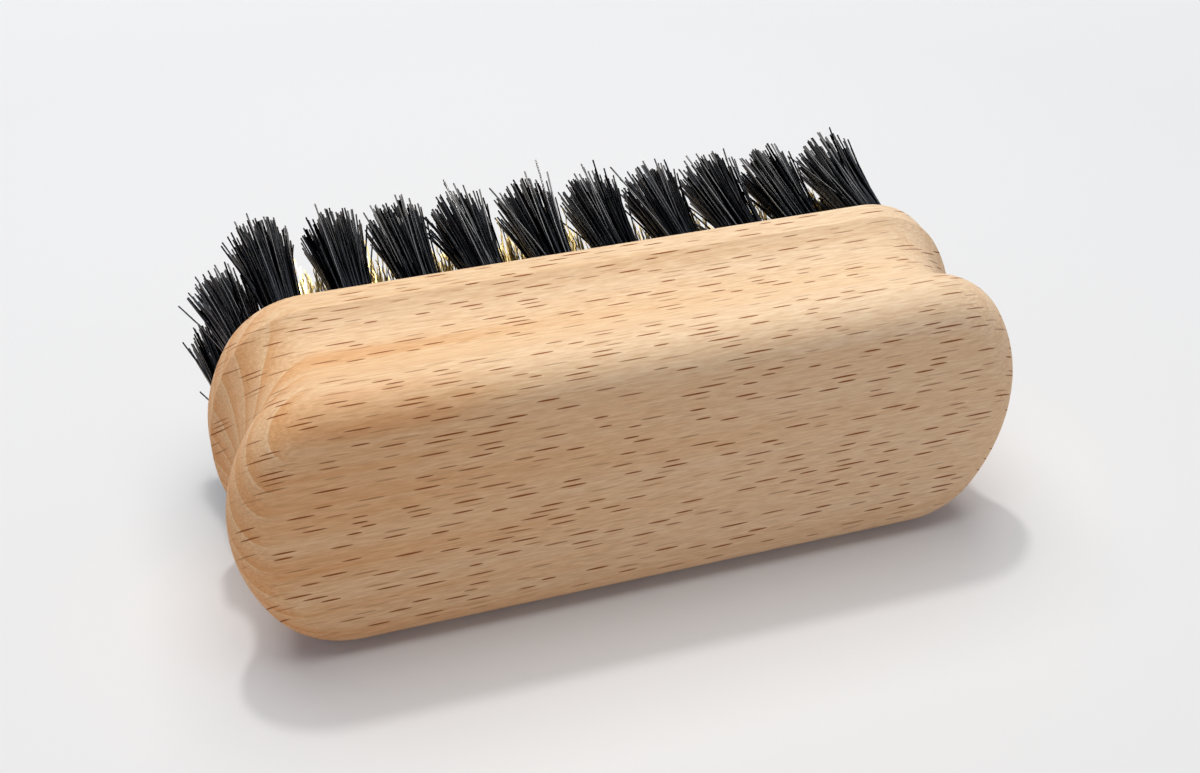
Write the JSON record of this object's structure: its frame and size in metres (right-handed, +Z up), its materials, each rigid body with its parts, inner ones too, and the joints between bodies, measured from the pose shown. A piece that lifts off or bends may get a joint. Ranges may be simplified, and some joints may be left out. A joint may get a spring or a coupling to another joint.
{
  "type": "suede brush",
  "caption": "Wooden block suede brush with a finger cove round its sides, a border of stiff black nylon tufts and brass wire tufts inside it, for cleaning suede shoes and raising their nap.",
  "frame": {"origin": "centre of the part's bounding box in X and Y, at its lowest height, under the long side it lies on", "axes": "+X along the block's length, +Y from the flat back to the bristle tips, +Z up"},
  "size_m": [0.12, 0.0524, 0.044],
  "materials": {
    "beech": "fine-sanded bare beech",
    "black_nylon": "drawn nylon filaments",
    "brass_wire": "crimped drawn wire",
    "anchor_steel": "cut from drawn flat wire"
  },
  "bodies": {
    "root": {"handle_block": "beech", "nylon_tuft_top_1": "black_nylon", "nylon_tuft_top_2": "black_nylon", "nylon_tuft_top_3": "black_nylon", "nylon_tuft_top_4": "black_nylon", "nylon_tuft_top_5": "black_nylon", "nylon_tuft_top_6": "black_nylon", "nylon_tuft_top_7": "black_nylon", "nylon_tuft_top_8": "black_nylon", "nylon_tuft_top_9": "black_nylon", "nylon_tuft_top_10": "black_nylon", "nylon_tuft_bottom_1": "black_nylon", "nylon_tuft_bottom_2": "black_nylon", "nylon_tuft_bottom_3": "black_nylon", "nylon_tuft_bottom_4": "black_nylon", "nylon_tuft_bottom_5": "black_nylon", "nylon_tuft_bottom_6": "black_nylon", "nylon_tuft_bottom_7": "black_nylon", "nylon_tuft_bottom_8": "black_nylon", "nylon_tuft_bottom_9": "black_nylon", "nylon_tuft_bottom_10": "black_nylon", "nylon_tuft_left_1": "black_nylon", "nylon_tuft_left_2": "black_nylon", "nylon_tuft_left_3": "black_nylon", "nylon_tuft_right_1": "black_nylon", "nylon_tuft_right_2": "black_nylon", "nylon_tuft_right_3": "black_nylon", "brass_tuft_upper_1": "brass_wire", "brass_tuft_upper_2": "brass_wire", "brass_tuft_upper_3": "brass_wire", "brass_tuft_upper_4": "brass_wire", "brass_tuft_upper_5": "brass_wire", "brass_tuft_upper_6": "brass_wire", "brass_tuft_upper_7": "brass_wire", "brass_tuft_upper_8": "brass_wire", "brass_tuft_upper_9": "brass_wire", "brass_tuft_lower_1": "brass_wire", "brass_tuft_lower_2": "brass_wire", "brass_tuft_lower_3": "brass_wire", "brass_tuft_lower_4": "brass_wire", "brass_tuft_lower_5": "brass_wire", "brass_tuft_lower_6": "brass_wire", "brass_tuft_lower_7": "brass_wire", "brass_tuft_lower_8": "brass_wire", "brass_tuft_lower_9": "brass_wire", "tuft_anchors": "anchor_steel"}
  },
  "joints": []
}
